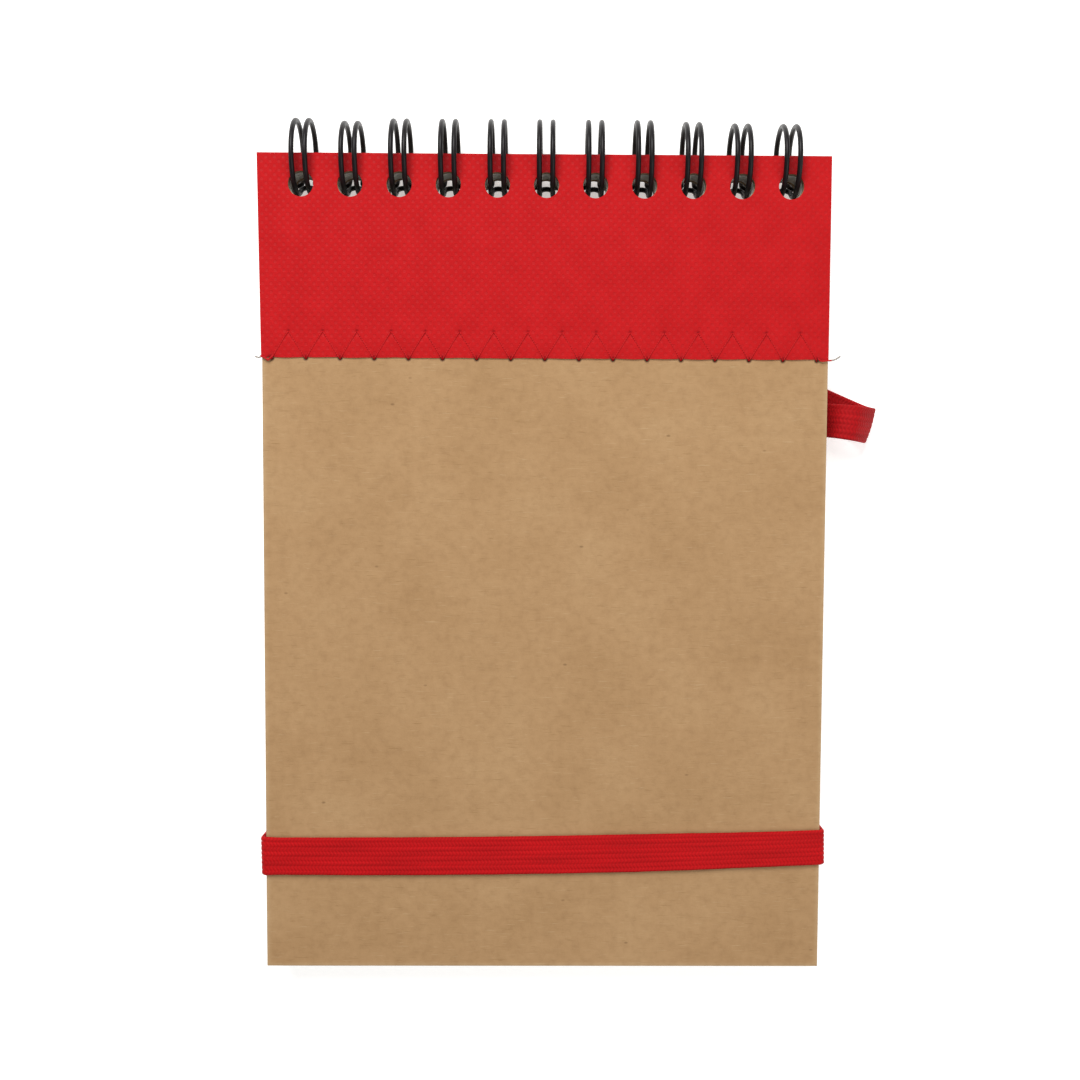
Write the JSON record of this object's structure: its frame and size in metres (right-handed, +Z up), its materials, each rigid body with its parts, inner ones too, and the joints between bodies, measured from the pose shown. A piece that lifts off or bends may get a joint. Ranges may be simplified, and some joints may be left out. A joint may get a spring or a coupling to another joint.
{
  "type": "wire-bound pocket notebook",
  "caption": "Top-bound pocket notebook with kraft board covers, a stitched non-woven strip, double-loop wire binding, an elastic closing band and an elastic pen loop.",
  "frame": {"origin": "centre of the base of the closed notebook as it lies on its back on a surface", "axes": "+Z up and out of the front cover, +Y towards the wire binding, +X to the right of a reader of the front"},
  "size_m": [0.109, 0.1496, 0.0132],
  "materials": {
    "kraft_board": "matte unbleached board with flecks",
    "red_non_woven": "matte embossed non-woven",
    "red_elastic": "matte ribbed webbing",
    "red_thread": "satin thread",
    "recycled_paper": "matte uncoated paper",
    "black_wire": "semi-gloss coated wire",
    "tinned_steel": "dull tin plate"
  },
  "bodies": {
    "back_board": {"back_cover": "kraft_board", "band_tail_left": "red_elastic", "band_tail_right": "red_elastic", "band_crimp_left": "tinned_steel", "band_crimp_right": "tinned_steel", "pen_loop": "red_elastic", "loop_tack": "red_thread"},
    "bundle_5": {"page_bundle_5": "recycled_paper"},
    "bundle_4": {"page_bundle_4": "recycled_paper"},
    "bundle_3": {"page_bundle_3": "recycled_paper"},
    "bundle_2": {"page_bundle_2": "recycled_paper"},
    "bundle_1": {"page_bundle_1": "recycled_paper"},
    "top_sheet": {"first_sheet": "recycled_paper"},
    "front_board": {"front_cover": "kraft_board", "cover_strip": "red_non_woven", "seam_upper_thread": "red_thread", "seam_lower_thread": "red_thread"},
    "wire": {"binding_wire": "black_wire"},
    "closing_band": {"elastic_band": "red_elastic"}
  },
  "joints": [
    {"name": "bundle_5_turn", "type": "hinge", "parent": "back_board", "child": "bundle_5", "pos_m": [-0.00428, 0.06828, 0.00671], "axis": [-1, 0, 0], "range_deg": [0, 180]},
    {"name": "bundle_4_turn", "type": "hinge", "parent": "bundle_5", "child": "bundle_4", "pos_m": [-0.00428, 0.06828, 0.00671], "axis": [-1, 0, 0], "range_deg": [0, 180]},
    {"name": "bundle_3_turn", "type": "hinge", "parent": "bundle_4", "child": "bundle_3", "pos_m": [-0.00428, 0.06828, 0.00671], "axis": [-1, 0, 0], "range_deg": [0, 180]},
    {"name": "bundle_2_turn", "type": "hinge", "parent": "bundle_3", "child": "bundle_2", "pos_m": [-0.00428, 0.06828, 0.00671], "axis": [-1, 0, 0], "range_deg": [0, 180]},
    {"name": "bundle_1_turn", "type": "hinge", "parent": "bundle_2", "child": "bundle_1", "pos_m": [-0.00428, 0.06828, 0.00671], "axis": [-1, 0, 0], "range_deg": [0, 180]},
    {"name": "top_sheet_turn", "type": "hinge", "parent": "bundle_1", "child": "top_sheet", "pos_m": [-0.00428, 0.06828, 0.00671], "axis": [-1, 0, 0], "range_deg": [0, 180]},
    {"name": "front_board_turn", "type": "hinge", "parent": "top_sheet", "child": "front_board", "pos_m": [-0.00428, 0.06828, 0.00671], "axis": [-1, 0, 0], "range_deg": [0, 180]},
    {"name": "wire_turn", "type": "hinge", "parent": "back_board", "child": "wire", "pos_m": [-0.00428, 0.06828, 0.00671], "axis": [1, 0, 0], "range_deg": [0, 258]},
    {"name": "closing_band_slip", "type": "slide", "parent": "back_board", "child": "closing_band", "axis": [0, -0.9999, -0.0153], "range_m": [0, 0.026], "deforming": ["elastic_band"]}
  ]
}
